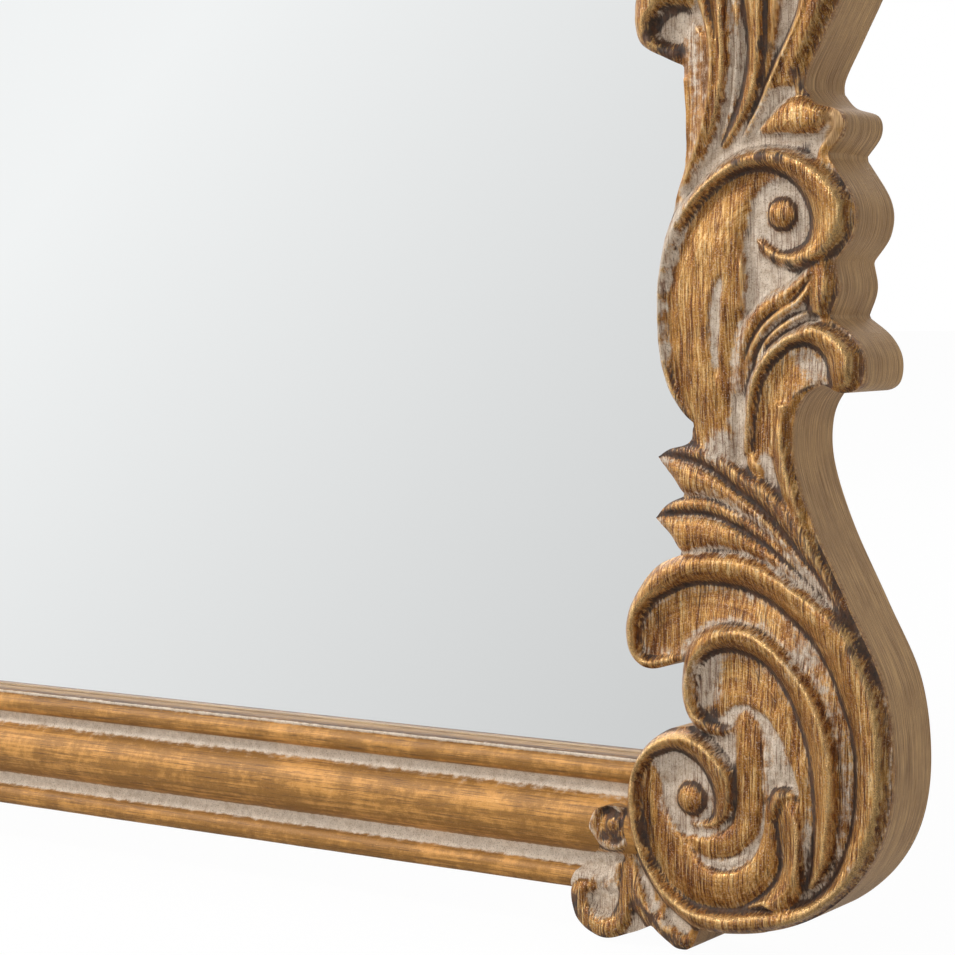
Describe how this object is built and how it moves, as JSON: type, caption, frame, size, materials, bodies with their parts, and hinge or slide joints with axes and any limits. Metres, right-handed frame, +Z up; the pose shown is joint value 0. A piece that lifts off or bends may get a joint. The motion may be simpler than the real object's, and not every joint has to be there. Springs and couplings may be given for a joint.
{
  "type": "carved wall mirror",
  "caption": "Upright wall mirror in a carved, gilded timber frame with scrolled corners, moulded rails and two swinging hanging rings on the back.",
  "frame": {"origin": "on the wall plane, below the middle of the frame's lower edge", "axes": "+X to the viewer's right, +Y into the wall, +Z up; the mirror faces -Y"},
  "size_m": [0.76, 0.048, 1.06],
  "materials": {
    "antique_gold": "water-gilt gold over brown, rubbed through, with wax in the hollows",
    "silvered_plate": "polished",
    "beech": "raw",
    "hardboard": "raw",
    "packing_foam": "matte",
    "plated_steel": "zinc plated",
    "grey_rubber": "matte"
  },
  "bodies": {
    "frame": {"bottom_rail": "antique_gold", "top_rail": "antique_gold", "stile_left": "antique_gold", "stile_right": "antique_gold", "lower_corner_left": "antique_gold", "lower_corner_right": "antique_gold", "upper_corner_left": "antique_gold", "upper_corner_right": "antique_gold", "lower_scroll_left": "antique_gold", "lower_scroll_right": "antique_gold", "upper_scroll_left": "antique_gold", "upper_scroll_right": "antique_gold", "loose_tenons": "beech", "mirror_glass": "silvered_plate", "setting_pads": "grey_rubber", "foam_sheet": "packing_foam", "back_board": "hardboard", "retaining_tabs": "plated_steel", "hanger_strap_left": "plated_steel", "hanger_strap_right": "plated_steel", "hanger_screws": "plated_steel", "wall_bumpers": "grey_rubber"},
    "ring_left": {"d_ring_left": "plated_steel"},
    "ring_right": {"d_ring_right": "plated_steel"}
  },
  "joints": [
    {"name": "ring_left_swing", "type": "hinge", "parent": "frame", "child": "ring_left", "pos_m": [-0.33, -0.004, 0.72], "axis": [-1, 0, 0], "range_deg": [0, 175]},
    {"name": "ring_right_swing", "type": "hinge", "parent": "frame", "child": "ring_right", "pos_m": [0.33, -0.004, 0.72], "axis": [-1, 0, 0], "range_deg": [0, 175]}
  ]
}
